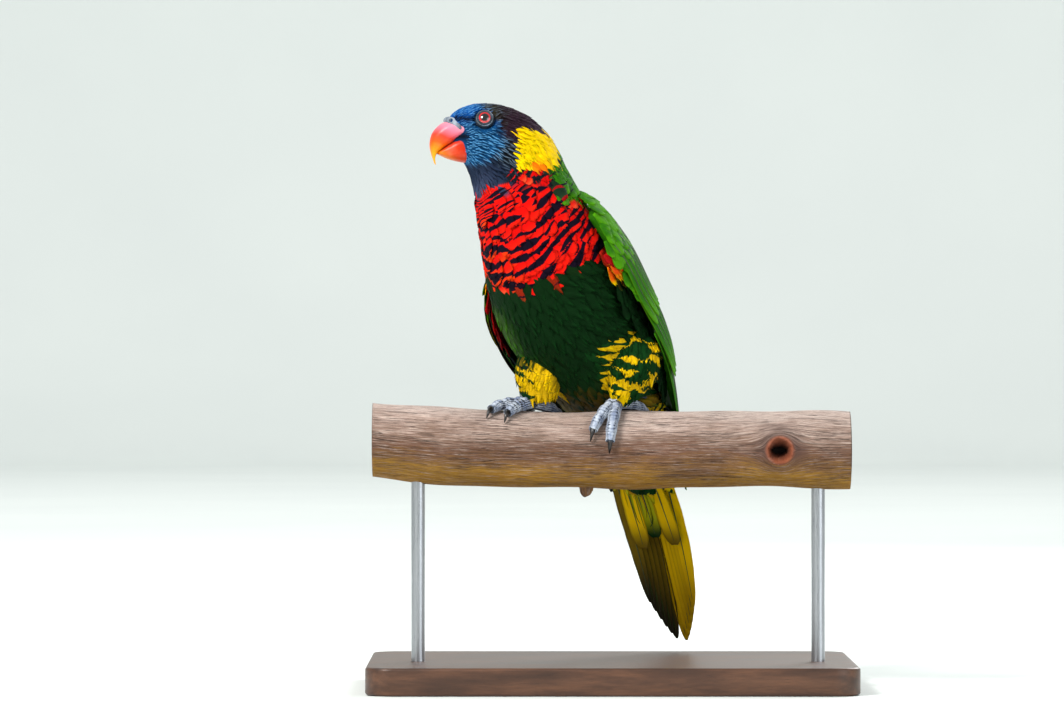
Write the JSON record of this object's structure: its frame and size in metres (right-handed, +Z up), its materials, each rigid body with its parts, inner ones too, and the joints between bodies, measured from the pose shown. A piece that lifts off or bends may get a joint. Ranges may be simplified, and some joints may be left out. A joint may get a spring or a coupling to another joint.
{
  "type": "rainbow lorikeet",
  "caption": "Life-size still rainbow lorikeet gripping a short cut branch, held up by a plain wooden base and steel rods.",
  "frame": {"origin": "centre of the display base's underside, on the surface that it stands on", "axes": "+X along the branch towards the knot, +Y from the side where the front toes hang over towards the tail, +Z up"},
  "size_m": [0.214, 0.15, 0.2566],
  "materials": {
    "head": "narrow dark blue feathers with paler shafts and a yellow nape",
    "neck": "green hindneck with a red, dark-barred collar in front",
    "torso": "red breast feathers with blue-black edges, dark green belly and green back",
    "wing": "overlapping bright green flight and covert feathers",
    "leg": "yellow thigh feathers barred with dark green",
    "tail": "tapered tail feathers, green above and olive yellow below",
    "bill": "smooth orange-red horn with a yellower hook",
    "eye": "wet, dark pupil in a red-brown iris",
    "foot": "grey scaly skin",
    "claw": "dark horn",
    "perch": "weathered grey-brown branch without bark, with fine grain and a knot hole",
    "stand_base": "satin dark stained wood",
    "stand_rod": "brushed steel rod"
  },
  "bodies": {
    "root": {"head": "head", "neck": "neck", "torso": "torso", "bill_upper": "bill", "bill_lower": "bill", "eye_left": "eye", "eye_right": "eye", "wing_left": "wing", "wing_right": "wing", "leg_left": "leg", "leg_right": "leg", "foot_left": "foot", "foot_right": "foot", "claw_left_1": "claw", "claw_left_2": "claw", "claw_left_3": "claw", "claw_left_4": "claw", "claw_right_1": "claw", "claw_right_2": "claw", "claw_right_3": "claw", "claw_right_4": "claw", "tail": "tail", "perch": "perch", "stand_base": "stand_base", "stand_rod_left": "stand_rod", "stand_rod_right": "stand_rod"}
  },
  "joints": []
}
